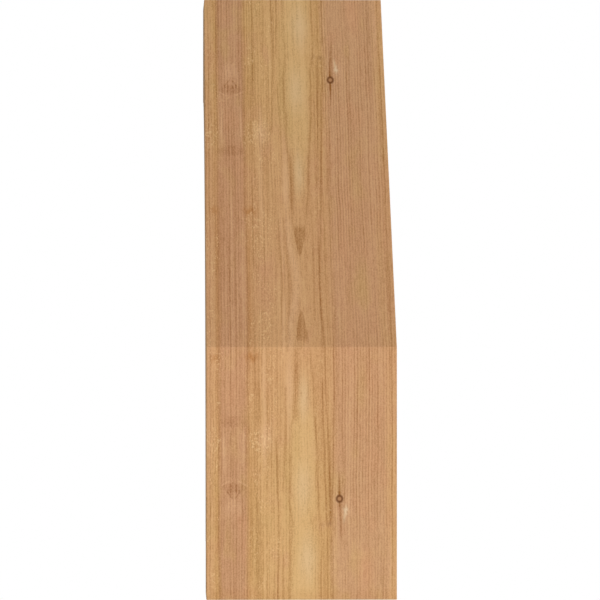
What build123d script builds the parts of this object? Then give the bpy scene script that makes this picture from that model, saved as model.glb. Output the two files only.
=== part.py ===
from build123d import *
from math import radians, tan
import os

# A timber knee brace, cut in one piece: a seat against the wall, a straight slope up to a seat under the
# soffit, and a hollow curve between a square nose and a square toe on the side that faces away from the wall.
# X runs across the timber, Y out from the wall and Z up. The origin is the middle of the wall seat.

# Driving dimensions, in millimetres and degrees
timber_width = 139.7  # a dressed six-inch timber, 5-1/2 in
reach = 406.4  # from the wall to the nose, 16 in
rise = 457.2  # from the toe to the soffit, 18 in
wall_seat = 185.4  # height of the face that meets the wall
slope_angle = 45  # of the back, between the two seats
nose_height = 76.2
nose_fillet = 31.8  # flat strip under the nose, in front of the hollow
toe_depth = 82.6
toe_height = 38.1
toe_fillet = 19.1  # flat strip above the toe, behind the hollow
arris = 0.8  # radius that every outside edge is eased to

# Corners of the side outline, as (out from the wall, up)
bottom = -wall_seat / 2
top = bottom + rise
slope_run = (rise - wall_seat) / tan(radians(slope_angle))
wall_foot = (0, bottom)
wall_head = (0, bottom + wall_seat)
soffit_back = (slope_run, top)
soffit_front = (reach, top)
nose_foot = (reach, top - nose_height)
nose_root = (reach - nose_fillet, top - nose_height)
toe_lip = (toe_depth + toe_fillet, bottom + toe_height)
toe_root = (toe_depth, bottom + toe_height)
toe_foot = (toe_depth, bottom)
inside_corners = (nose_root, toe_root)


def stands_out(edge):
    """True for an edge across the timber, unless it lies in one of the two inside corners."""
    middle = edge.center()
    gaps = [middle - Vector(middle.X, out, up) for out, up in inside_corners]
    return all(gap.length > arris for gap in gaps)


with BuildPart() as brace:
    with BuildSketch(Plane.YZ):
        with BuildLine():
            Polyline(nose_root, nose_foot, soffit_front, soffit_back, wall_head, wall_foot)
            Polyline(wall_foot, toe_foot, toe_root, toe_lip)
            # The hollow leaves the toe plumb and sweeps out to the nose in one round curve.
            TangentArc(toe_lip, nose_root, tangent=(0, 1))
        make_face()
    extrude(amount=timber_width / 2, both=True)
    across = brace.edges().filter_by(Axis.X).filter_by(stands_out)
    side_outlines = brace.faces().filter_by(Axis.X).edges()
    fillet(across + side_outlines, arris)

brace.part.label = "brace"

os.makedirs("parts", exist_ok=True)
export_step(brace.part, "parts/brace.step")

print("volume in litres", round(brace.part.volume / 1e6, 3))
print("size", brace.part.bounding_box().size)
print("top seat depth", round(reach - slope_run, 1))
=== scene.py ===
import math
import bpy
import numpy as np
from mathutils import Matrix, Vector


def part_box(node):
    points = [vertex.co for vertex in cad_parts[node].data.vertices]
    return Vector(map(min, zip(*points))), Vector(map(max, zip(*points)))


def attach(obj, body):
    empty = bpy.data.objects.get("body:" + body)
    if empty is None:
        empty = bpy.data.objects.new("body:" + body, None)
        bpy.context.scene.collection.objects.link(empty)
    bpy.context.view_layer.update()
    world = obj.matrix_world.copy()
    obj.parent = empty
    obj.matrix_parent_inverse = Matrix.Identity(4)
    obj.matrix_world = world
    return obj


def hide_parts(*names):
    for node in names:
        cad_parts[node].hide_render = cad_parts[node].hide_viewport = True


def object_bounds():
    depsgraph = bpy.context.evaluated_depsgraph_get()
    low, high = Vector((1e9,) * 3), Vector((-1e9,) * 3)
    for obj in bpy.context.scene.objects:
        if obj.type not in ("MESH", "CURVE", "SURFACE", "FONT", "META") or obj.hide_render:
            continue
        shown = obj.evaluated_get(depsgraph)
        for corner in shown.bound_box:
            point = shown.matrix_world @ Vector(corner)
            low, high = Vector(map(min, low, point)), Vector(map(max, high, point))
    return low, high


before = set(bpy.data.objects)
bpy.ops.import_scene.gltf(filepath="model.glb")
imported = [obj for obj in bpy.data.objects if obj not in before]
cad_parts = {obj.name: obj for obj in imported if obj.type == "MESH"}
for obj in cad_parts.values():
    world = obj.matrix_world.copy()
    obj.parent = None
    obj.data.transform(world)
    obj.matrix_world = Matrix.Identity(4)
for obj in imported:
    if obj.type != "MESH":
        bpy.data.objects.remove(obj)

# Decorative timber knee brace. Everything is in metres; X runs across the timber, Y out from the wall, Z up.

cadLow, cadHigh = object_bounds()
print("CAD box", [round(v, 4) for v in cadLow], [round(v, 4) for v in cadHigh])

# camera

view = dict(
    standOff=3.450,  # camera to the wall plane
    side=-0.0930,  # camera's place across, left of the brace's middle
    height=0.12714,  # level with the middle of the picture
    lens=282.5,  # mm, a long lens from across the yard
    sensor=36.0,
    turn=1.523,  # degrees to the right, so that the brace is in the middle of the picture
    farthest=60.0,  # nothing beyond this is drawn
)

cameraData = bpy.data.cameras.new("camera")
cameraData.lens = view["lens"]
cameraData.sensor_width = view["sensor"]
cameraData.clip_end = view["farthest"]
camera = bpy.data.objects.new("camera", cameraData)
camera.location = (view["side"], -view["standOff"], view["height"])
camera.rotation_euler = (math.radians(90), 0, math.radians(-view["turn"]))
bpy.context.collection.objects.link(camera)
bpy.context.scene.camera = camera
bpy.context.scene.view_settings.view_transform = "Standard"
print("camera set")


# a colour as seen on screen, 0 to 255, made linear by the standard curve, whose numbers are fixed
def tone(red, green, blue):
    values = []
    for level in (red, green, blue):
        c = level / 255
        values.append(c / 12.92 if c <= 0.04045 else ((c + 0.055) / 1.055) ** 2.4)
    return (*values, 1.0)


# gives a node's input another node's output, or else a plain value
def feed(tree, socket, value):
    if isinstance(value, bpy.types.NodeSocket):
        tree.links.new(value, socket)
    else:
        socket.default_value = value


# puts a node in a tree, sets it and feeds its inputs
def place(tree, kind, inputs=None, **settings):
    node = tree.nodes.new(kind)
    for name, value in settings.items():
        setattr(node, name, value)
    for name, value in (inputs or {}).items():
        feed(tree, node.inputs[name], value)
    return node


# one sum: operation on one, two or three numbers
def calc(tree, operation, *values, clamp=False):
    inputs = {i: v for i, v in enumerate(values)}
    return place(tree, "ShaderNodeMath", inputs, operation=operation, use_clamp=clamp).outputs[0]


# the product of two or more numbers
def times(tree, product, *others):
    for other in others:
        product = calc(tree, "MULTIPLY", product, other)
    return product


# 0 below low, 1 above high, and a soft S between
def smooth(tree, value, low, high):
    inputs = {"Value": value, "From Min": low, "From Max": high}
    return place(tree, "ShaderNodeMapRange", inputs, interpolation_type="SMOOTHSTEP").outputs["Result"]


# 1 below low, 0 above high, and a soft S between
def fall(tree, value, low, high):
    return calc(tree, "SUBTRACT", 1.0, smooth(tree, value, low, high))


seedStep = 7.31  # how far apart in the noise two seeds lie


# soft noise between 0 and 1, with a cell of the given size in mm across and along
def softNoise(tree, across, along, cellAcross, cellAlong, seed, detail=2.0, rough=0.5):
    spot = place(tree, "ShaderNodeCombineXYZ", {
        "X": calc(tree, "DIVIDE", across, cellAcross),
        "Y": calc(tree, "DIVIDE", along, cellAlong),
        "Z": seed * seedStep,
    }).outputs[0]
    inputs = {"Vector": spot, "Scale": 1.0, "Detail": detail, "Roughness": rough}
    return place(tree, "ShaderNodeTexNoise", inputs, noise_dimensions="3D").outputs["Fac"]


# one colour laid over another by a mask: on a colour mix, inputs 0, 6 and 7 and output 2
def blend(tree, mask, under, over, mode="MIX"):
    inputs = {0: mask, 6: under, 7: over}
    return place(tree, "ShaderNodeMix", inputs, data_type="RGBA", blend_type=mode).outputs[2]


# a ramp of tones with its stops given in mm
def toneRamp(tree, value, low, high, stops):
    inputs = {"Value": value, "From Min": low, "From Max": high}
    share = place(tree, "ShaderNodeMapRange", inputs).outputs["Result"]
    node = place(tree, "ShaderNodeValToRGB", {"Fac": share})
    ramp = node.color_ramp
    while len(ramp.elements) > 1:
        ramp.elements.remove(ramp.elements[-1])
    for i, (spot, colour) in enumerate(stops):
        at = (spot - low) / (high - low)
        element = ramp.elements[0] if i == 0 else ramp.elements.new(at)
        element.position = at
        element.color = colour
    return node.outputs["Color"]


# an empty node group with named number inputs, given with their usual values, and named number outputs
def newGroup(name, inputs, outputs):
    tree = bpy.data.node_groups.new(name, "ShaderNodeTree")
    for label, value in inputs.items():
        socket = tree.interface.new_socket(label, in_out="INPUT", socket_type="NodeSocketFloat")
        socket.default_value = value
    for label in outputs:
        tree.interface.new_socket(label, in_out="OUTPUT", socket_type="NodeSocketFloat")
    return tree, tree.nodes.new("NodeGroupInput").outputs, tree.nodes.new("NodeGroupOutput").inputs


# puts a node group in a tree, feeds its inputs and gives its outputs
def useGroup(tree, group, **inputs):
    return place(tree, "ShaderNodeGroup", inputs, node_tree=group).outputs


# The wood is made of shared node groups, whose lengths are all in mm.

# A strong growth line: a soft dark stripe round Middle, as exp(-((across - middle) / width)^2), that fades in
# at Start and out at Stop.
def makeStrongLine():
    inputs = dict(Across=0.0, Along=0.0, Middle=0.0, Width=1.0, Start=0.0, Stop=100.0, Fade=8.0, Strength=0.2)
    tree, given, out = newGroup("strongLine", inputs, ["Mask"])
    offset = calc(tree, "DIVIDE", calc(tree, "SUBTRACT", given["Across"], given["Middle"]), given["Width"])
    stripe = calc(tree, "EXPONENT", times(tree, offset, offset, -1.0))
    along, start, stop = given["Along"], given["Start"], given["Stop"]
    begun = smooth(tree, along, calc(tree, "SUBTRACT", start, given["Fade"]), start)
    lasting = fall(tree, along, stop, calc(tree, "ADD", stop, given["Fade"]))
    tree.links.new(times(tree, stripe, begun, lasting, given["Strength"]), out["Mask"])
    return tree


# the fine growth rings
ringShape = dict(
    waverCell=(30.0, 90.0),  # size of their wavering, across and along
    waver=2.6,  # how far they waver
    power=3.0,  # the higher, the later a ring darkens
    close=0.86,  # the share of the way through a ring at which it starts to end
    weakest=0.55,
    swing=0.7,  # how much stronger than the weakest a ring can be
)


# Fine growth rings: the share of the way through each ring, raised to a power, so that each ring darkens
# slowly and ends sharply; every ring has its own strength.
def makeFineRings():
    tree, given, out = newGroup("fineRings", dict(Across=0.0, Along=0.0, Spacing=2.2, Seed=0.0), ["Line"])
    waver = softNoise(tree, given["Across"], given["Along"], *ringShape["waverCell"], 1.0)
    waver = times(tree, calc(tree, "SUBTRACT", waver, 0.5), ringShape["waver"])
    ring = calc(tree, "DIVIDE", calc(tree, "ADD", given["Across"], waver), given["Spacing"])
    through = calc(tree, "FRACT", ring)
    late = calc(tree, "POWER", through, ringShape["power"])
    close = fall(tree, through, ringShape["close"], 1.0)
    number = calc(tree, "ADD", calc(tree, "FLOOR", ring), given["Seed"])
    own = place(tree, "ShaderNodeTexWhiteNoise", {"W": number}, noise_dimensions="1D").outputs["Value"]
    own = calc(tree, "MULTIPLY_ADD", own, ringShape["swing"], ringShape["weakest"])
    line = times(tree, late, close, own)
    tree.links.new(line, out["Line"])
    return tree


# the noise of each fibre: cell size across and along, seed, detail and roughness
fibreNoise = dict(
    Streak=(0.9, 110.0, 2.0, 2.0, 0.55),
    Broad=(4.0, 90.0, 3.0, 1.0, 0.5),
    Dash=(0.9, 5.5, 5.0, 1.0, 0.5),
    Speck=(0.8, 1.15, 4.0, 1.0, 0.5),
    Fleck=(0.95, 1.5, 15.0, 0.0, 0.5),
    cluster=(9.0, 26.0, 16.0, 1.0, 0.5),
)
fleckShape = dict(
    seedShift=171.0,  # how far to the side each seed starts
    crowding=0.035,  # how much more of the noise makes a fleck in a crowd
    cluster=(0.44, 0.66),  # the noise at which a cluster starts and is full
    fleck=(0.60, 0.78),  # the same for a fleck
)


# Fibres, all drawn out along the grain, each between -1 and 1: long streaks, broad bands, short dashes and
# specks; and a mask of pale flecks, which come in clusters and wherever Crowd is above 0.
def makeFibres():
    labels = ["Streak", "Broad", "Dash", "Speck", "Fleck"]
    tree, given, out = newGroup("fibres", dict(Across=0.0, Along=0.0, Seed=0.0, Crowd=0.0), labels)
    across = calc(tree, "MULTIPLY_ADD", given["Seed"], fleckShape["seedShift"], given["Across"])
    along = given["Along"]
    for label in labels[:-1]:
        noise = softNoise(tree, across, along, *fibreNoise[label])
        tree.links.new(calc(tree, "MULTIPLY_ADD", noise, 2.0, -1.0), out[label])
    fleck = softNoise(tree, across, along, *fibreNoise["Fleck"])
    fleck = calc(tree, "MULTIPLY_ADD", given["Crowd"], fleckShape["crowding"], fleck)
    cluster = softNoise(tree, across, along, *fibreNoise["cluster"])
    cluster = smooth(tree, cluster, *fleckShape["cluster"])
    cluster = calc(tree, "ADD", cluster, given["Crowd"], clamp=True)
    fleck = smooth(tree, fleck, *fleckShape["fleck"])
    tree.links.new(times(tree, fleck, cluster), out["Fleck"])
    return tree


# A soft oval patch: Mask falls from 1 at its middle to 0 at its edge, and Reach grows from 0 to 1.
def makePatch():
    inputs = dict(Across=0.0, Along=0.0, MiddleAcross=0.0, MiddleAlong=0.0, HalfWidth=5.0, HalfHeight=5.0)
    tree, given, out = newGroup("patch", inputs, ["Mask", "Reach"])
    squares = []
    for way, half in (("Across", "HalfWidth"), ("Along", "HalfHeight")):
        share = calc(tree, "DIVIDE", calc(tree, "SUBTRACT", given[way], given["Middle" + way]), given[half])
        squares.append(times(tree, share, share))
    reach = calc(tree, "SQRT", calc(tree, "ADD", *squares))
    tree.links.new(fall(tree, reach, 0.0, 1.0), out["Mask"])
    tree.links.new(reach, out["Reach"])
    return tree


strongLine = makeStrongLine()
fineRings = makeFineRings()
fibres = makeFibres()
patch = makePatch()
print("wood node groups made")

wood = dict(
    edge=tone(210, 163, 112),
    ochre=tone(202, 155, 100),
    russet=tone(196, 147, 107),
    honey=tone(211, 166, 111),
    amber=tone(205, 159, 104),
    rose=tone(202, 155, 113),
    straw=tone(217, 177, 120),
    blush=tone(206, 152, 111),
    olive=tone(202, 162, 104),
    lateWood=tone(140, 93, 52),
    lateShade=(0.40, 0.23, 0.0, 1.0),  # dark growth multiplies the colour by this: blue falls most
    burnt=tone(184, 124, 68),
    cream=tone(221, 188, 143),
    blond=tone(226, 181, 138),
    pink=tone(214, 166, 126),
    white=tone(234, 212, 174),
    flush=tone(212, 164, 116),
    pale=tone(236, 199, 147),
    knotRim=tone(106, 59, 22),
    knotCore=tone(190, 138, 92),
    roughness=0.78,
    specular=0.22,
)

# tones across the timber, left to right, in mm from its middle
bands = [
    (-70, "flush"), (-67.5, "flush"), (-65, "edge"), (-62, "ochre"), (-58.5, "russet"), (-42, "russet"),
    (-38, "ochre"), (-30, "honey"), (-14, "honey"), (-8, "honey"), (1.5, "honey"), (12, "amber"),
    (20, "amber"), (27, "rose"), (60, "rose"), (65.5, "edge"), (70, "edge"),
]

# The figure on the wall seat and the slope, in mm: it is the same going up and going down from a height
# called the fold, and its places along are counted from there.
figure = dict(
    fold=47.0,  # the fold, above the edge between the wall seat and the slope
    heart=1.5,  # middle of the arched figure
    legs=10.5,  # how far its legs stand apart at the ends, to each side
    legStart=20.0,
    legRise=55.0,
    coreStrength=0.70,  # of the straw wood between the legs
    coreEdge=(-3.5, 6.0),  # how far inside the legs it starts and is full
    coreOpens=(48.0, 120.0),  # where the straw wood starts and is full
    tip=20.0,  # the point of the arch's dark tip
    tipAcross=0.5,
    tipLength=22.0,
    tipHalfWidth=4.9,
    tipPower=0.55,  # below 1, it is blunt
    tipEdge=(-0.3, 0.8),
    tipEnds=(0.85, 1.15),  # in lengths of the tip, where it fades
    tipStrength=0.42,
    blushStrength=0.45,  # near the fold
    blushEnds=(50.0, 170.0),
    footStrength=0.15,  # a darker foot to the wall seat
    footStarts=(222.0, 229.0),
    ringsRight=(12.0, 30.0),  # to the right of this, the fine rings vary along the timber
    ringsStart=(15.0, 50.0),  # where they become strong
    ringsEnd=(190.0, 155.0),  # where they are weak again
    ringsLow=-0.20,
    ringsSwing=0.60,
    bend=((25.0, 30.0), 1.6),  # cell of the noise that bends it across, and how far
    rag=((2.5, 60.0), 11.0),  # the same for the ragged ends of the patches
)

# a pin knot and what goes with it, in mm
knot = dict(
    across=27.7,
    along=158.3,  # from the fold
    radius=2.4,
    tall=1.08,  # height for its width
    # rim and core: where each starts to fade and has gone, in radii, then its strength and tone
    layers=[((0.90, 1.42), 0.88, "knotRim"), ((0.34, 0.74), 0.78, "knotCore")],
    # The streak towards the fold, the one away from it and the pale flame: width, start, stop, fade, strength
    # and path. Start, stop and path are counted from the knot.
    streaks=[
        (0.8, -12, 0, 10.0, 0.49, [(0, -0.1)]),
        (1.15, 0, 20, 16.0, 0.47, [(0, -0.1), (40, 1.6)]),
        (0.9, 11, 12, 8.0, 0.40, [(6, 4.6), (20, 2.9)]),
    ],
    fleck=(4.8, 8.5, 3.2, 6.0),  # the pale fleck: across and along from the knot, half width, half height
    fleckStrength=0.55,
    tearCell=(0.9, 2.4),
    tear=(0.40, 0.62),
    tearDepth=(1.2, 0.1),  # how much of the fleck shows is the noise x 1.2 + 0.1
)

# strong growth lines: width, strength, then the path as (how far from the fold, place across)
strongLines = [
    (0.9, 0.10, [(0, -66.5), (240, -66.5)]),
    (1.3, 0.15, [(0, -60.0), (240, -60.0)]),
    (0.7, 0.07, [(0, -51.9), (240, -51.9)]),
    (0.7, 0.07, [(0, -48.1), (240, -48.1)]),
    (0.7, 0.11, [(117, -64.2), (137, -65.6), (165, -66.8)]),
    (0.7, 0.11, [(117, -35.6), (137, -34.2), (165, -33.0)]),
    (1.4, 0.10, [(0, -39.7), (240, -39.7)]),
    (0.8, 0.13, [(18, -34.3), (75, -34.3)]),
    (0.8, 0.12, [(80, -32.2), (240, -32.2)]),
    (1.0, 0.11, [(0, -26.2), (60, -26.2), (140, -25.0), (240, -24.0)]),
    (0.8, 0.28, [(118, -18.4), (145, -18.0), (185, -16.6), (240, -17.2)]),
    (0.9, 0.18, [(185, -14.0), (205, -13.3), (240, -13.0)]),
    (0.7, 0.20, [(0, -13.0), (22, -14.5), (44, -15.0)]),
    (0.7, 0.17, [(78, -12.0), (112, -11.5), (150, -13.6)]),
    (1.3, 0.20, [(0, -8.2), (23, -9.0), (46, -10.3)]),
    (1.0, 0.17, [(50, -4.5), (83, -5.5), (98, -6.0), (105, -7.3)]),
    (1.4, 0.14, [(62, -4.0), (96, -4.6)]),
    (0.7, 0.13, [(56, -3.2), (98, -3.5)]),
    (1.2, 0.21, [(113, -7.6), (130, -8.0), (160, -8.8), (178, -7.0), (190, -7.6), (240, -8.7)]),
    (0.8, 0.12, [(44, 1.5), (50, 1.2)]),
    (0.7, 0.13, [(56, 3.5), (86, 5.2)]),
    (0.8, 0.24, [(54, 6.3), (70, 8.0), (90, 9.1), (123, 11.2), (163, 12.1)]),
    (0.8, 0.20, [(171, 13.4), (174, 14.0), (190, 15.6), (205, 14.3), (240, 13.9)]),
    (1.2, 0.16, [(0, 10.9), (26, 10.4)]),
    (0.7, 0.31, [(76, 15.4), (118, 16.4), (150, 17.4), (172, 18.2)]),
    (0.9, 0.27, [(0, 14.6), (23, 15.2), (55, 16.9), (90, 18.5), (118, 19.8)]),
    (0.9, 0.30, [(126, 20.0), (145, 20.6), (170, 21.3)]),
    (0.6, 0.16, [(190, 19.0), (240, 19.4)]),
    (0.9, 0.24, [(190, 22.3), (240, 22.3)]),
    (0.8, 0.22, [(0, 24.8), (36, 24.4)]),
    (0.8, 0.14, [(44, 24.4), (80, 24.3), (140, 26.6)]),
    (0.9, 0.14, [(0, 65.3), (240, 67.0)]),
    (0.9, 0.10, [(190, 58.5), (240, 58.5)]),
]

# pale streaks beside the arch, in the same form
paleStreaks = [
    (2.8, 0.46, [(0, -2.6), (10, -3.4), (20, -5.2), (30, -7.4), (42, -8.4)]),
    (0.8, 0.34, [(18, -12.0), (30, -13.0), (46, -13.2)]),
    (1.2, 0.30, [(52, -27.5), (130, -27.0)]),
    (1.0, 0.26, [(0, -50.3), (60, -50.3)]),
    (0.8, 0.26, [(0, -46.5), (30, -46.5)]),
    (1.2, 0.22, [(60, -9.0), (110, -9.4)]),
    (0.8, 0.48, [(117, -57.2), (131, -56.8)]),
    (0.8, 0.48, [(117, -42.6), (131, -43.0)]),
]

# The small mirrored burl in the russet band, in mm. Its strokes are mirrored about its middle and counted
# from it: slant, middle, width, start, stop and strength. Each runs where way out + slant x way up = middle.
burl = dict(
    across=-49.9,
    along=152.0,  # from the fold
    strokes=[
        (0.0, 2.2, 1.0, -3.6, -2.6, 0.22), (0.0, 1.9, 0.6, -0.4, 1.6, 0.34), (0.0, 4.1, 0.7, 0.3, 1.6, 0.34),
        (0.75, 5.6, 0.75, 2.0, 5.4, 0.34),
    ],
    brow=(-1.74, 15.1, 1.0, -6.0, -3.9, 0.42),  # its pale brow, in the same form
    fade=1.3,  # how softly the strokes start and stop
    smudges=[(149.8, 10.5, 3.9, 0.165), (101.7, 11.5, 5.3, 0.185)],  # from the fold, half sizes, strength
    smudgeEdge=(0.55, 1.05),
    curlCell=(2.6, 2.2),  # the noise that curls it
    curlOut=1.1,
    curlUp=4.0,  # of the smudges
)

# crowds of pale flecks, mirrored about the burl: way out from it, how far from the fold, half width, half
# height and strength
crowds = [(19, 116, 15, 15, 2.4), (22, 30, 14, 30, 0.9)]

# soft patches of another tone: place across, how far from the fold, half width, half height, strength, tone
patches = [
    (4.5, 202, 10, 28, 0.58, "cream"), (1.0, 150, 10, 28, 0.50, "cream"), (1.5, 84, 6, 26, 0.55, "cream"),
    (-10.5, 150, 5, 60, 0.55, "olive"), (11, 174, 6, 9, 0.60, "amber"), (-5, 120, 5, 22, 0.50, "olive"),
    (-27, 8, 14, 22, 0.55, "blush"), (46, 3, 9, 24, 0.45, "olive"), (33, 20, 6, 60, 0.35, "blush"),
    (-50.3, 165, 11, 10, 0.60, "pink"), (-36.5, 55, 8, 5, 0.75, "burnt"), (-63.5, 55, 6, 5, 0.60, "burnt"),
    (44, 75, 7, 30, 0.35, "olive"), (-34, 190, 5, 45, 0.40, "olive"), (35, 165, 7, 16, 0.50, "pink"),
    (20.6, 176.5, 3.4, 3.2, 0.44, "lateWood"), (15.6, 177, 2.2, 3.4, 0.26, "lateWood"),
    (-37.5, 20, 3.5, 50, 0.35, "burnt"), (-61, 20, 3.5, 50, 0.25, "burnt"), (-26, 114, 9, 18, 0.50, "blond"),
    (-9, 75, 5, 32, 0.35, "blond"), (60, 20, 5, 60, 0.35, "honey"), (23, 205, 4, 30, 0.45, "blond"),
    (47, 213, 10, 28, 0.80, "blush"), (63.5, 205, 3.2, 45, 0.60, "pink"),
]


# how strongly each kind of fine growth darkens the wood, and what else is alike all over the timber, in mm
growth = dict(
    ring=0.50, Streak=0.56, Broad=0.20, Dash=0.26, Speck=0.40, fleck=0.34, line=1.35,
    pale=-0.7,  # how much the growth lightens the wood between the dark lines
    smoother=-0.12,  # how much less rough the dark growth is
    ringSpacing=2.15,
    waverCell=(22.0, 45.0),
    waver=2.0,
    mottleCell=(13.0, 24.0),
    mottle=0.40,
    mottles=[(0.52, 0.75, "olive"), (0.48, 0.25, "blush")],  # soft patches more yellow, and others pinker
    reliefStrength=0.3,
    reliefDepth=0.0002,  # metres
)

# how much of the rings, the streaks and the pale flecks shows at each place across, in mm from the middle
growthPlaces = [
    (-70, 0.8, 0.7, 1.3), (-61, 0.8, 0.7, 1.3), (-57, 0.8, 0.7, 0.6), (-42, 0.8, 0.7, 0.4),
    (-37, 0.6, 1.1, 1.4), (-18, 0.5, 1.0, 1.4), (-10, 0.3, 0.6, 0.5), (8, 0.2, 0.5, 0.4),
    (14, 0.4, 0.8, 0.8), (24, 0.8, 0.8, 0.8), (32, 1.0, 0.5, 0.4), (70, 1.0, 0.5, 0.4),
]
pathLeft, pathSpan, pathLength = -70.0, 140.0, 240.0  # mm: what the path of a strong line can cover


# noise as a sway to each side, up to half of far
def sway(tree, noise, far, value):
    return calc(tree, "MULTIPLY_ADD", calc(tree, "SUBTRACT", noise, 0.5), far, value)


# the middle of a strong line, in mm, from its path
def pathAcross(tree, along, path):
    if len({spot for reach, spot in path}) == 1:
        return float(path[0][1])
    stops = [(reach, ((spot - pathLeft) / pathSpan,) * 3 + (1.0,)) for reach, spot in path]
    share = toneRamp(tree, along, 0.0, pathLength, stops)
    return calc(tree, "MULTIPLY_ADD", share, pathSpan, pathLeft)


# one strong line, from its start to its stop
def drawLine(tree, across, along, middle, width, start, stop, strength, fade=8.0):
    ends = dict(Start=float(start), Stop=float(stop), Fade=fade)
    return useGroup(
        tree, strongLine, Across=across, Along=along, Middle=middle, Width=width, Strength=strength, **ends,
    )["Mask"]


# one oval patch, round the middle (spot, reach)
def drawPatch(tree, across, along, spot, reach, halfWidth, halfHeight):
    middle = dict(MiddleAcross=float(spot), MiddleAlong=float(reach))
    size = dict(HalfWidth=float(halfWidth), HalfHeight=float(halfHeight))
    return useGroup(tree, patch, Across=across, Along=along, **middle, **size)


# the tones and the fine growth that are alike all over the timber
def plainGrowth(tree, across, along, seed, tones, places, crowd=0.0):
    waver = softNoise(tree, across, along, *growth["waverCell"], 6.0 + seed, detail=3.0)
    warped = sway(tree, waver, growth["waver"], across)
    low, high = float(tones[0][0]), float(tones[-1][0])
    colour = toneRamp(tree, warped, low, high, [(spot, wood[name]) for spot, name in tones])
    fibre = useGroup(tree, fibres, Across=warped, Along=along, Seed=float(seed), Crowd=crowd)
    spacing = growth["ringSpacing"]
    ring = useGroup(tree, fineRings, Across=warped, Along=along, Spacing=spacing, Seed=40.0 + seed)["Line"]

    # a ramp holds 0 to 1, so the shares go in halved
    stops = [(spot, (rings / 2, streaks / 2, flecks / 2, 1.0)) for spot, rings, streaks, flecks in places]
    halves = toneRamp(tree, warped, low, high, stops)
    halves = place(tree, "ShaderNodeSeparateColor", {"Color": halves}).outputs
    share = [times(tree, halves[i], 2.0) for i in range(3)]

    mottle = softNoise(tree, across, along, *growth["mottleCell"], 14.0 + seed, detail=1.0)
    for start, full, name in growth["mottles"]:
        mask = times(tree, smooth(tree, mottle, start, full), growth["mottle"])
        colour = blend(tree, mask, colour, wood[name])
    return colour, fibre, ring, share


# adds the fine growth, and gives the material its colour, roughness and relief
def finishWood(material, colour, fibre, ring, dark, share):
    tree = material.node_tree
    shader = tree.nodes["Principled BSDF"]
    fine = times(tree, ring, share[0], growth["ring"])
    streak = times(tree, fibre["Streak"], share[1])
    fine = calc(tree, "MULTIPLY_ADD", streak, growth["Streak"], fine)
    for label in ("Broad", "Dash", "Speck"):
        fine = calc(tree, "MULTIPLY_ADD", fibre[label], growth[label], fine)
    lines = calc(tree, "ADD", fine, dark)
    darkMask = calc(tree, "MAXIMUM", lines, 0.0, clamp=True)
    colour = blend(tree, darkMask, colour, wood["lateShade"], mode="MULTIPLY")
    paleMask = calc(tree, "MAXIMUM", times(tree, lines, growth["pale"]), 0.0)
    fleck = times(tree, fibre["Fleck"], share[2])
    paleMask = calc(tree, "MULTIPLY_ADD", fleck, growth["fleck"], paleMask, clamp=True)
    colour = blend(tree, paleMask, colour, wood["pale"])
    tree.links.new(colour, shader.inputs["Base Color"])
    rough = calc(tree, "MULTIPLY_ADD", lines, growth["smoother"], wood["roughness"], clamp=True)
    tree.links.new(rough, shader.inputs["Roughness"])
    shader.inputs["Specular IOR Level"].default_value = wood["specular"]

    # the strong lines have no relief: with them, the material is too long for the renderer
    inputs = {"Height": fine, "Strength": growth["reliefStrength"], "Distance": growth["reliefDepth"]}
    tree.links.new(place(tree, "ShaderNodeBump", inputs).outputs["Normal"], shader.inputs["Normal"])
    return colour


# the piece's own map gives across and along in metres; the materials work in mm
def grainCoordinates(tree):
    spot = place(tree, "ShaderNodeUVMap", uv_map="grain").outputs["UV"]
    parts = place(tree, "ShaderNodeSeparateXYZ", {"Vector": spot}).outputs
    return [times(tree, parts[name], 1000.0) for name in "XY"]


def newMaterial(name):
    material = bpy.data.materials.new(name)
    material.use_nodes = True
    return material


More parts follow.
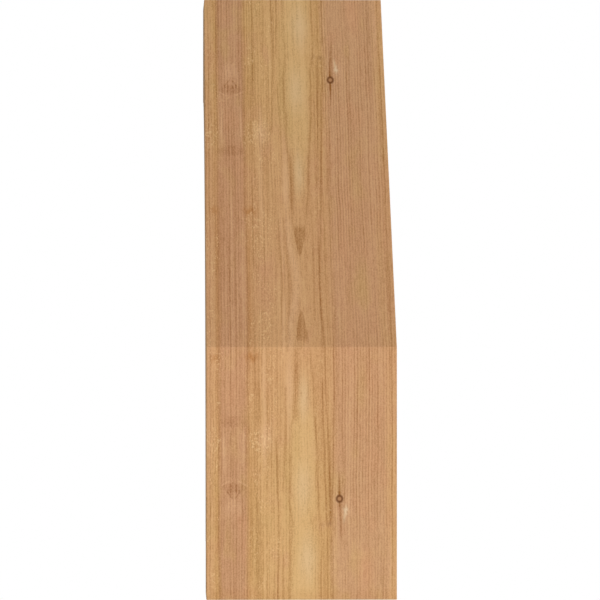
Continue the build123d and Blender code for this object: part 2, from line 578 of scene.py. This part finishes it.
# the wall seat and the slope, with the arch, the pin knots and the strong growth lines
def makeFigured():
    material = newMaterial("planedFigured")
    tree = material.node_tree
    across, height = grainCoordinates(tree)
    fromFold = calc(tree, "ABSOLUTE", calc(tree, "SUBTRACT", height, figure["fold"]))
    fromBurl = calc(tree, "ABSOLUTE", calc(tree, "SUBTRACT", across, burl["across"]))
    crowd = 0.0
    for spot, reach, halfWidth, halfHeight, strength in crowds:
        mask = drawPatch(tree, fromBurl, fromFold, spot, reach, halfWidth, halfHeight)["Mask"]
        crowd = calc(tree, "MULTIPLY_ADD", mask, strength, crowd)
    colour, fibre, ring, share = plainGrowth(tree, across, height, 0, bands, growthPlaces, crowd)

    # across with a slow bend in it, and the way from the fold with a ragged edge
    (bendCell, bend), (ragCell, rag) = figure["bend"], figure["rag"]
    bent = sway(tree, softNoise(tree, across, fromFold, *bendCell, 9.0), bend, across)
    ragged = sway(tree, softNoise(tree, across, fromFold, *ragCell, 17.0), rag, fromFold)

    # redder near the fold
    nearFold = fall(tree, fromFold, *figure["blushEnds"])
    colour = blend(tree, times(tree, nearFold, figure["blushStrength"]), colour, wood["blush"])

    # straw wood between the legs of the arch; the legs part as tanh of the way from the fold
    rise = calc(tree, "DIVIDE", calc(tree, "SUBTRACT", fromFold, figure["legStart"]), figure["legRise"])
    legs = times(tree, calc(tree, "TANH", rise), figure["legs"])
    fromHeart = calc(tree, "ABSOLUTE", calc(tree, "SUBTRACT", bent, figure["heart"]))
    inside = smooth(tree, calc(tree, "SUBTRACT", legs, fromHeart), *figure["coreEdge"])
    opened = smooth(tree, fromFold, *figure["coreOpens"])
    core = times(tree, inside, opened, figure["coreStrength"])
    colour = blend(tree, core, colour, wood["straw"])

    for spot, reach, halfWidth, halfHeight, strength, name in patches:
        mask = drawPatch(tree, bent, ragged, spot, reach, halfWidth, halfHeight)["Mask"]
        colour = blend(tree, times(tree, mask, strength), colour, wood[name])

    # the dark tip, widening as a power of the way from its point
    way = calc(tree, "DIVIDE", calc(tree, "SUBTRACT", fromFold, figure["tip"]), figure["tipLength"])
    half = calc(tree, "POWER", calc(tree, "MAXIMUM", way, 0.0), figure["tipPower"])
    half = times(tree, half, figure["tipHalfWidth"])
    fromTip = calc(tree, "ABSOLUTE", calc(tree, "SUBTRACT", bent, figure["tipAcross"]))
    tip = smooth(tree, calc(tree, "SUBTRACT", half, fromTip), *figure["tipEdge"])
    tip = times(tree, tip, fall(tree, way, *figure["tipEnds"]))
    dark = times(tree, tip, figure["tipStrength"])

    # a little darker at the foot of the wall seat
    foot = smooth(tree, fromFold, *figure["footStarts"])
    colour = blend(tree, times(tree, foot, figure["footStrength"]), colour, wood["burnt"])

    for width, strength, path in strongLines:
        middle = pathAcross(tree, fromFold, path)
        start, stop = path[0][0], path[-1][0]
        line = drawLine(tree, bent, fromFold, middle, width, start, stop, strength * growth["line"])
        dark = calc(tree, "ADD", dark, line)

    # the burl: dark strokes under a pale brow, on a flat smudge; and a second smudge nearer the fold
    curl = calc(tree, "SUBTRACT", softNoise(tree, fromBurl, fromFold, *burl["curlCell"], 12.0), 0.5)
    burlOut = calc(tree, "MULTIPLY_ADD", curl, burl["curlOut"], fromBurl)
    burlUp = calc(tree, "SUBTRACT", fromFold, burl["along"])
    strokes = []
    for slant, middle, width, start, stop, strength in (*burl["strokes"], burl["brow"]):
        slanted = calc(tree, "MULTIPLY_ADD", burlUp, slant, burlOut)
        strokes.append(drawLine(tree, slanted, burlUp, middle, width, start, stop, strength, burl["fade"]))
    *darkStrokes, light = strokes
    for stroke in darkStrokes:
        dark = calc(tree, "ADD", dark, stroke)
    smudgeUp = calc(tree, "MULTIPLY_ADD", curl, burl["curlUp"], fromFold)
    for reach, halfWidth, halfHeight, strength in burl["smudges"]:
        smudge = drawPatch(tree, fromBurl, smudgeUp, 0, reach, halfWidth, halfHeight)["Reach"]
        smudge = fall(tree, smudge, *burl["smudgeEdge"])
        dark = calc(tree, "MULTIPLY_ADD", smudge, strength, dark)

    for width, strength, path in paleStreaks:
        middle = pathAcross(tree, fromFold, path)
        line = drawLine(tree, bent, fromFold, middle, width, path[0][0], path[-1][0], strength, fade=14.0)
        light = calc(tree, "ADD", light, line)
    colour = blend(tree, light, colour, wood["blond"])

    # streaks above and below each pin knot, and the pale fleck and flame beside it
    masks = []
    for width, start, stop, fade, strength, path in knot["streaks"]:
        path = [(knot["along"] + reach, knot["across"] + spot) for reach, spot in path]
        middle = pathAcross(tree, fromFold, path)
        start, stop = knot["along"] + start, knot["along"] + stop
        masks.append(drawLine(tree, across, fromFold, middle, width, start, stop, strength, fade))
    inner, outer, flame = masks
    dark = calc(tree, "ADD", dark, calc(tree, "ADD", inner, outer))
    spot, reach, halfWidth, halfHeight = knot["fleck"]
    spot, reach = knot["across"] + spot, knot["along"] + reach
    fleck = drawPatch(tree, across, fromFold, spot, reach, halfWidth, halfHeight)["Mask"]

    # on the right, the fine rings are strongest half way between the fold and the ends
    begun, ended = (smooth(tree, fromFold, *figure[name]) for name in ("ringsStart", "ringsEnd"))
    halfWay = times(tree, begun, ended)
    swing = calc(tree, "MULTIPLY_ADD", halfWay, figure["ringsSwing"], figure["ringsLow"])
    ringy = calc(tree, "MULTIPLY_ADD", smooth(tree, across, *figure["ringsRight"]), swing, 1.0)
    share[0] = times(tree, share[0], ringy)
    colour = finishWood(material, colour, fibre, ring, dark, share)

    # the fleck is torn by fine noise
    torn = smooth(tree, softNoise(tree, across, fromFold, *knot["tearCell"], 18.0), *knot["tear"])
    fleck = calc(tree, "MULTIPLY", fleck, calc(tree, "MULTIPLY_ADD", torn, *knot["tearDepth"]), clamp=True)
    fleck = calc(tree, "MAXIMUM", times(tree, fleck, knot["fleckStrength"]), flame)
    colour = blend(tree, fleck, colour, wood["white"])

    # the pin knot: a dark rim round a paler core
    radius, spot, reach = knot["radius"], knot["across"], knot["along"]
    reach = drawPatch(tree, across, fromFold, spot, reach, radius, radius * knot["tall"])["Reach"]
    for edge, strength, name in knot["layers"]:
        mask = fall(tree, reach, *edge)
        colour = blend(tree, times(tree, mask, strength), colour, wood[name])
    tree.links.new(colour, tree.nodes["Principled BSDF"].inputs["Base Color"])
    return material


# the faces away from the wall: the same growth, with no figure
def makePlain():
    material = newMaterial("sawnPlain")
    tree = material.node_tree
    across, along = grainCoordinates(tree)
    colour, fibre, ring, share = plainGrowth(tree, across, along, 1, bands, growthPlaces)
    finishWood(material, colour, fibre, ring, 0.0, share)
    return material


# tones and fine growth on the sides, in mm in from the slope
side = dict(
    bands=[
        (0, "amber"), (30, "honey"), (58, "honey"), (80, "russet"), (108, "russet"), (135, "amber"),
        (190, "rose"),
    ],
    places=[(0, 0.4, 0.8, 0.7), (190, 0.4, 0.8, 0.7)],
    middle=94.0,  # of the arches
    swayCell=(90.0, 160.0),  # the noise that bends the arches
    sway=24.0,
    blunt=20.0,  # how round their points are
    climb=0.07,  # ring growth for each mm along the grain
    spacing=5.2,
    strength=0.42,
)


# The two sides, where the grain lies with the slope. Their rings are long arches, at equal steps of
# sqrt((across - middle)^2 + blunt^2) + climb x along.
def makeSide():
    material = newMaterial("sawnSide")
    tree = material.node_tree
    across, along = grainCoordinates(tree)
    colour, fibre, ring, share = plainGrowth(tree, across, along, 2, side["bands"], side["places"])
    bent = sway(tree, softNoise(tree, across, along, *side["swayCell"], 21.0), side["sway"], across)
    offset = calc(tree, "SUBTRACT", bent, side["middle"])
    rounded = calc(tree, "SQRT", calc(tree, "MULTIPLY_ADD", offset, offset, side["blunt"] ** 2))
    arched = calc(tree, "MULTIPLY_ADD", along, side["climb"], rounded)
    arches = useGroup(tree, fineRings, Across=arched, Along=along, Spacing=side["spacing"], Seed=80.0)["Line"]
    finishWood(material, colour, fibre, ring, times(tree, arches, side["strength"]), share)
    return material


woodMaterials = dict(figured=makeFigured(), plain=makePlain(), side=makeSide())
slots = {name: number for number, name in enumerate(woodMaterials)}
print("wood materials made")

timber = dict(
    wallSeat=0.1854,
    slopeAngle=45.0,
    noseHeight=0.0762,
    noseFillet=0.0318,
    toeDepth=0.0826,
    toeHeight=0.0381,
    toeFillet=0.0191,
    cornerRadius=0.0006,  # of the outline's outside corners
    arris=0.0004,  # of the long edges
    arrisSteps=4,
    columns=96,  # across
    sideColumns=34,  # from the back to the front
    # points on each stretch of the outline, the same at the back and at the front, and on half a corner
    steps=dict(half=2, corner=4, toe=12, ledge=6, foot=34, slope=90, head=22, nose=8),
    # heights on the wall, above the toe's root, that face its root and the two ends of its lip
    wallLevels=(0.004, 0.014, 0.018),
    grainRound=0.8,  # how fast the grain runs on past the slope and the wall seat, for 1 of the way round
    hair=1e-6,  # a length that is too short to matter
    endPower=40,  # the higher, the sooner a side takes on its ruled shape
)


# points on a straight line, leaving out the first
def straight(a, b, count):
    share = np.linspace(0, 1, count + 1)[1:, None]
    return np.array(a) * (1 - share) + np.array(b) * share


# points on an arc, centre + radius x (cos, sin), leaving out the first
def curved(centre, radius, fromAngle, toAngle, count):
    angle = np.linspace(fromAngle, toAngle, count + 1)[1:, None]
    return np.array(centre) + radius * np.hstack([np.cos(angle), np.sin(angle)])


# the arc that eases a corner: its centre lies on the bisector, where both edges are one radius away
def easedCorner(before, corner, after, radius):
    before, corner, after = map(np.array, (before, corner, after))
    back = (before - corner) / np.linalg.norm(before - corner)
    ahead = (after - corner) / np.linalg.norm(after - corner)
    halfAngle = math.acos(np.clip(back @ ahead, -1, 1)) / 2
    bisector = (back + ahead) / np.linalg.norm(back + ahead)
    centre = corner + bisector * radius / math.sin(halfAngle)
    first = corner + back * radius / math.tan(halfAngle) - centre
    last = corner + ahead * radius / math.tan(halfAngle) - centre
    fromAngle = math.atan2(first[1], first[0])
    turn = math.atan2(first[0] * last[1] - first[1] * last[0], first @ last)
    return centre, fromAngle, fromAngle + turn


# The outline as two matched rows of points and the ends that join them. The back row runs from the wall foot
# to the top of the nose and the front row from the toe to the foot of the nose. Point i of one faces point i
# of the other.
def outlineRows():
    radius, steps = timber["cornerRadius"], timber["steps"]
    low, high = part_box("brace")
    bottom, top, reach = low[2], high[2], high[1]
    head = bottom + timber["wallSeat"]
    run = (top - head) / math.tan(math.radians(timber["slopeAngle"]))
    wallFoot, wallHead = (0, bottom), (0, head)
    soffitBack, soffitFront = (run, top), (reach, top)
    noseFoot = (reach, top - timber["noseHeight"])
    noseRoot = (reach - timber["noseFillet"], top - timber["noseHeight"])
    toeFoot, toeRoot = (timber["toeDepth"], bottom), (timber["toeDepth"], bottom + timber["toeHeight"])
    toeLip = (timber["toeDepth"] + timber["toeFillet"], bottom + timber["toeHeight"])

    # the hollow is a circle that is plumb at the toe's lip and passes through the nose's root
    dy, dz = noseRoot[0] - toeLip[0], noseRoot[1] - toeLip[1]
    hollowRadius = (dy * dy + dz * dz) / (2 * dy)
    hollowCentre = (toeLip[0] + hollowRadius, toeLip[1])
    headAngle, backAngle, rootAngle = (
        math.atan2(point[1] - hollowCentre[1], point[0] - hollowCentre[0])
        for point in (wallHead, soffitBack, noseRoot)
    )
    nudge = radius / hollowRadius  # the angle that a corner takes up on the hollow

    # the arc of an eased corner, or its first or last half, and the point where it starts
    def cornerArc(before, corner, after, half=None):
        centre, a, b = easedCorner(before, corner, after, radius)
        if half == "first":
            b = (a + b) / 2
        if half == "last":
            a = (a + b) / 2
        count = steps["half"] if half else steps["corner"]
        return curved(centre, radius, a, b, count), centre + radius * np.array([math.cos(a), math.sin(a)])

    # one end, from the middle of one eased corner to the middle of the next
    def joinRows(before, first, second, after):
        firstArc = cornerArc(before, first, second, half="last")[0]
        secondArc, secondStart = cornerArc(first, second, after, half="first")
        count = timber["sideColumns"] - 2 * steps["half"]
        return np.vstack([firstArc, straight(firstArc[-1], secondStart, count), secondArc[:-1]])

    footArc, footStart = cornerArc(toeFoot, wallFoot, wallHead, half="last")
    headArc, headStart = cornerArc(wallFoot, wallHead, soffitBack)
    backArc, backStart = cornerArc(wallHead, soffitBack, soffitFront)
    frontArc, frontStart = cornerArc(soffitBack, soffitFront, noseFoot, half="first")
    toeArc, toeStart = cornerArc(wallFoot, toeFoot, toeRoot, half="last")
    lipArc, lipStart = cornerArc(toeRoot, toeLip, (toeLip[0], noseRoot[1]))
    noseArc, noseStart = cornerArc(noseRoot, noseFoot, soffitFront, half="first")

    # the places on the wall lie a little above what they face, because the ledge of the toe is level
    rootLevel, lipStartLevel, lipLevel = (toeRoot[1] + rise for rise in timber["wallLevels"])
    edgeY = hollowCentre[0] + (top - hollowCentre[1]) / math.tan(rootAngle)
    back = np.vstack([
        footStart[None],
        footArc,
        straight(footArc[-1], (0, rootLevel), steps["toe"]),
        straight((0, rootLevel), (0, lipStartLevel), steps["ledge"]),
        straight((0, lipStartLevel), (0, lipLevel), steps["corner"]),
        straight((0, lipLevel), headStart, steps["foot"]),
        headArc,
        straight(headArc[-1], backStart, steps["slope"]),
        backArc,
        straight(backArc[-1], (edgeY, top), steps["head"]),
        straight((edgeY, top), frontStart, steps["nose"]),
        frontArc,
    ])
    stretches = [
        (math.pi - nudge, headAngle + nudge, "foot"),
        (headAngle + nudge, headAngle - nudge, "corner"),
        (headAngle - nudge, backAngle + nudge, "slope"),
        (backAngle + nudge, backAngle - nudge, "corner"),
        (backAngle - nudge, rootAngle, "head"),
    ]
    front = np.vstack([
        toeStart[None],
        toeArc,
        straight(toeArc[-1], toeRoot, steps["toe"]),
        straight(toeRoot, lipStart, steps["ledge"]),
        lipArc,
        *(curved(hollowCentre, hollowRadius, a, b, steps[name]) for a, b, name in stretches),
        straight(noseRoot, noseStart, steps["nose"]),
        noseArc,
    ])
    nose = joinRows(soffitBack, soffitFront, noseFoot, noseRoot)
    toe = joinRows(toeRoot, toeFoot, wallFoot, wallHead)
    return back, front, nose, toe


# inward normal of the closed outline at each point, lengthened at corners so that both edges move in equally:
# (n1 + n2) / (1 + n1.n2)
def inwardNormals(loop):
    edge = np.roll(loop, -1, axis=0) - loop
    edge /= np.linalg.norm(edge, axis=1)[:, None]
    after = np.column_stack([edge[:, 1], -edge[:, 0]])  # the outline runs clockwise with Y right and Z up
    before = np.roll(after, 1, axis=0)
    return (before + after) / (1 + (before * after).sum(1))[:, None]


# Places across and how far the outline has moved in there: flat in the middle, and at each edge a quarter
# circle, x = half - r + r sin a, inset = r - r cos a.
def acrossColumns(half):
    radius, steps = timber["arris"], timber["arrisSteps"]
    angle = np.linspace(0, math.pi / 2, steps + 1)[1:]
    flat = np.linspace(-half + radius, half - radius, timber["columns"] + 1)
    edgeX, edgeInset = half - radius + radius * np.sin(angle), radius - radius * np.cos(angle)
    return (np.hstack([-edgeX[::-1], flat, edgeX]),
            np.hstack([edgeInset[::-1], np.zeros(len(flat)), edgeInset]))


# quads of a grid of point numbers, wound so that rows x columns or columns x rows faces out
def gridQuads(number, flip=False):
    a, b, c, d = number[:-1, :-1], number[:-1, 1:], number[1:, 1:], number[1:, :-1]
    quads = np.stack([a, b, c, d], axis=-1).reshape(-1, 4)
    return quads[:, ::-1] if flip else quads


# share of the way along a row of points, by length
def wayAlong(row):
    way = np.hstack([0, np.cumsum(np.linalg.norm(np.diff(row, axis=0), axis=1))])
    return way / way[-1]


# The timber's skin. Round it, point = outline + inset x inward normal, carried across by the columns. Each
# side is ruled between the back row and the front row, and is drawn to the shape of its two ends by a high
# power of the way to them.
def buildTimber():
    low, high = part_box("brace")
    half = (high[0] - low[0]) / 2
    crease = low[2] + timber["wallSeat"]
    back, front, nose, toe = outlineRows()
    rows, cells = len(back), timber["sideColumns"]
    loop = np.vstack([back, nose, front[::-1], toe])
    normal = inwardNormals(loop)
    x, inset = acrossColumns(half)
    ring = loop[:, None, :] + normal[:, None, :] * inset[None, :, None]
    points = np.concatenate([np.broadcast_to(x[None, :, None], (*ring.shape[:2], 1)), ring], axis=2)
    number = np.arange(len(loop) * len(x)).reshape(len(loop), len(x))
    closed = np.vstack([number, number[:1]])
    wrapQuads = gridQuads(closed)

    # how far along the grain each row lies: by height on the wall seat and slope, by the way round elsewhere
    step = np.roll(loop, -1, axis=0) - loop
    firstOnTop = np.argmax(back[:, 1] >= high[2] - timber["hair"])
    facing = np.arange(len(loop)) < firstOnTop
    along = np.where(facing, step[:, 1], timber["grainRound"] * np.linalg.norm(step, axis=1))
    along = np.hstack([0, np.cumsum(along)]) + loop[0, 1] - crease
    mapAcross = np.broadcast_to(x[None, :], closed.shape)
    mapAlong = np.broadcast_to(along[:, None], closed.shape)
    corners = gridQuads(np.arange(closed.size).reshape(closed.shape))
    wrapMap = np.stack([mapAcross.reshape(-1)[corners], mapAlong.reshape(-1)[corners]], axis=-1)
    wrapSlot = np.repeat(np.where(facing, slots["figured"], slots["plain"]), len(x) - 1)

    allPoints, allQuads, allMaps = [points.reshape(-1, 3)], [wrapQuads], [wrapMap]
    allSlots, count = [wrapSlot], number.size
    power = timber["endPower"]
    for column, flip in ((0, True), (-1, False)):
        edge = number[:, column]
        side = np.zeros((rows, cells + 1), int)
        side[:, 0] = edge[:rows]
        side[-1, :] = edge[rows - 1:rows + cells]
        side[:, -1] = edge[rows + cells - 1:2 * rows + cells - 1][::-1]
        side[0, :] = np.hstack([edge[2 * rows + cells - 2:], edge[:1]])[::-1]
        flat = points.reshape(-1, 3)[:, 1:]
        b, f, first, last = flat[side[:, 0]], flat[side[:, -1]], flat[side[0]], flat[side[-1]]
        t = np.linspace(0, 1, rows)[:, None, None]
        v = wayAlong(first)[None, :, None]
        ruled = b[:, None] * (1 - v) + f[:, None] * v
        shaped = ruled + (first - ruled[0]) * (1 - t) ** power + (last - ruled[-1]) * t ** power
        inner = shaped[1:-1, 1:-1].reshape(-1, 2)
        side[1:-1, 1:-1] = count + np.arange(len(inner)).reshape(rows - 2, cells - 1)
        count += len(inner)
        allPoints.append(np.column_stack([np.full(len(inner), x[column]), inner]))
        quads = gridQuads(side, flip)
        everyPoint = np.vstack(allPoints)[quads]
        y, z = everyPoint[..., 1], everyPoint[..., 2] - crease
        allMaps.append(np.stack([(y - z) / math.sqrt(2), (y + z) / math.sqrt(2)], axis=-1))
        allQuads.append(quads)
        allSlots.append(np.full(len(quads), slots["side"]))

    mesh = bpy.data.meshes.new("braceTimber")
    quads = np.vstack(allQuads)
    mesh.from_pydata(np.vstack(allPoints).tolist(), [], quads.tolist())
    grain = mesh.uv_layers.new(name="grain")
    grain.data.foreach_set("uv", np.concatenate(allMaps).reshape(-1).astype(np.float32))
    mesh.polygons.foreach_set("material_index", np.concatenate(allSlots).astype(np.int32))
    mesh.polygons.foreach_set("use_smooth", np.ones(len(quads), bool))
    for material in woodMaterials.values():
        mesh.materials.append(material)
    mesh.update()
    piece = bpy.data.objects.new("braceTimber", mesh)
    bpy.context.collection.objects.link(piece)
    return piece


braceTimber = buildTimber()
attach(braceTimber, "root")
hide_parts("brace")
print("timber built,", len(braceTimber.data.polygons), "faces")

studio = dict(
    floorDrop=0.30,  # the brace hangs, so the floor is well below it
    floorRadius=2.2,
    floorPoints=96,  # round the rim
    floorColour=(0.92, 0.92, 0.91, 1.0),
    floorRoughness=0.9,
    floorSpecular=0.1,
    floorFade=(0.3, 0.9),  # in radii, where the floor starts to fade to white and is white
    skyLevel=0.19,
    white=(1.0, 1.0, 1.0, 1.0),
)


# a flat disc: rings of points at radius x (cos, sin), closed by a point in the middle
def buildFloor():
    level, radius, count = cadLow[2] - studio["floorDrop"], studio["floorRadius"], studio["floorPoints"]
    angle = np.linspace(0, 2 * math.pi, count + 1)[:-1]
    rim = np.column_stack([radius * np.cos(angle), radius * np.sin(angle), np.full(count, level)])
    points = np.vstack([rim, [[0, 0, level]]])
    faces = np.column_stack([np.arange(count), np.roll(np.arange(count), -1), np.full(count, count)])
    mesh = bpy.data.meshes.new("floor")
    mesh.from_pydata(points.tolist(), [], faces.tolist())
    mesh.update()
    floor = bpy.data.objects.new("floor", mesh)
    bpy.context.collection.objects.link(floor)
    return floor


# 1 for what the camera sees by itself, in a gloss or through glass, from the outputs of a Light Path node
def seenDirectly(tree, path):
    seen = calc(tree, "MAXIMUM", path["Is Camera Ray"], path["Is Glossy Ray"])
    return calc(tree, "MAXIMUM", seen, path["Is Transmission Ray"])


# pale matt, fading to the white background at the rim, and unseen from below
def makeFloorMaterial():
    material = newMaterial("paleFloor")
    tree = material.node_tree
    shader = tree.nodes["Principled BSDF"]
    output = tree.nodes["Material Output"]
    shader.inputs["Base Color"].default_value = studio["floorColour"]
    shader.inputs["Roughness"].default_value = studio["floorRoughness"]
    shader.inputs["Specular IOR Level"].default_value = studio["floorSpecular"]
    spot = place(tree, "ShaderNodeTexCoord").outputs["Object"]
    flat = place(tree, "ShaderNodeVectorMath", {0: spot, 1: (1, 1, 0)}, operation="MULTIPLY").outputs[0]
    away = place(tree, "ShaderNodeVectorMath", {0: flat}, operation="LENGTH").outputs["Value"]
    edge = smooth(tree, away, *(studio["floorRadius"] * share for share in studio["floorFade"]))
    path = place(tree, "ShaderNodeLightPath").outputs
    faded = times(tree, edge, seenDirectly(tree, path))
    white = place(tree, "ShaderNodeEmission", {"Color": studio["white"], "Strength": 1.0}).outputs[0]
    mixed = place(tree, "ShaderNodeMixShader", {0: faded, 1: shader.outputs[0], 2: white})
    clear = place(tree, "ShaderNodeBsdfTransparent").outputs[0]
    under = place(tree, "ShaderNodeNewGeometry").outputs["Backfacing"]
    below = times(tree, under, path["Is Camera Ray"])
    final = place(tree, "ShaderNodeMixShader", {0: below, 1: mixed.outputs[0], 2: clear})
    tree.links.new(final.outputs[0], output.inputs["Surface"])
    return material


floor = buildFloor()
floor.data.materials.append(makeFloorMaterial())


# white behind everything that is seen, and a low even light on the object
def makeSky():
    world = bpy.data.worlds.new("sky")
    bpy.context.scene.world = world
    world.use_nodes = True
    tree = world.node_tree
    tree.nodes.clear()
    seen = seenDirectly(tree, place(tree, "ShaderNodeLightPath").outputs)
    light, white = (
        place(tree, "ShaderNodeBackground", {"Color": studio["white"], "Strength": strength}).outputs[0]
        for strength in (studio["skyLevel"], 1.0)
    )
    mixed = place(tree, "ShaderNodeMixShader", {0: seen, 1: light, 2: white})
    place(tree, "ShaderNodeOutputWorld", {"Surface": mixed.outputs[0]})


# lamps as wide soft suns: where the light comes from, its strength and its width in degrees
lamps = dict(
    frontLamp=dict(source=(0.28, -1.0, 0.335), strength=2.16, spread=24),
    backLamp=dict(source=(0.35, 1.0, 0.60), strength=1.9, spread=40),
)


def makeLamps():
    for name, lamp in lamps.items():
        data = bpy.data.lights.new(name, "SUN")
        data.energy = lamp["strength"]
        data.angle = math.radians(lamp["spread"])
        lampObject = bpy.data.objects.new(name, data)
        lampObject.rotation_euler = Vector(lamp["source"]).to_track_quat("Z", "Y").to_euler()
        bpy.context.collection.objects.link(lampObject)


makeSky()
makeLamps()
print("studio made")
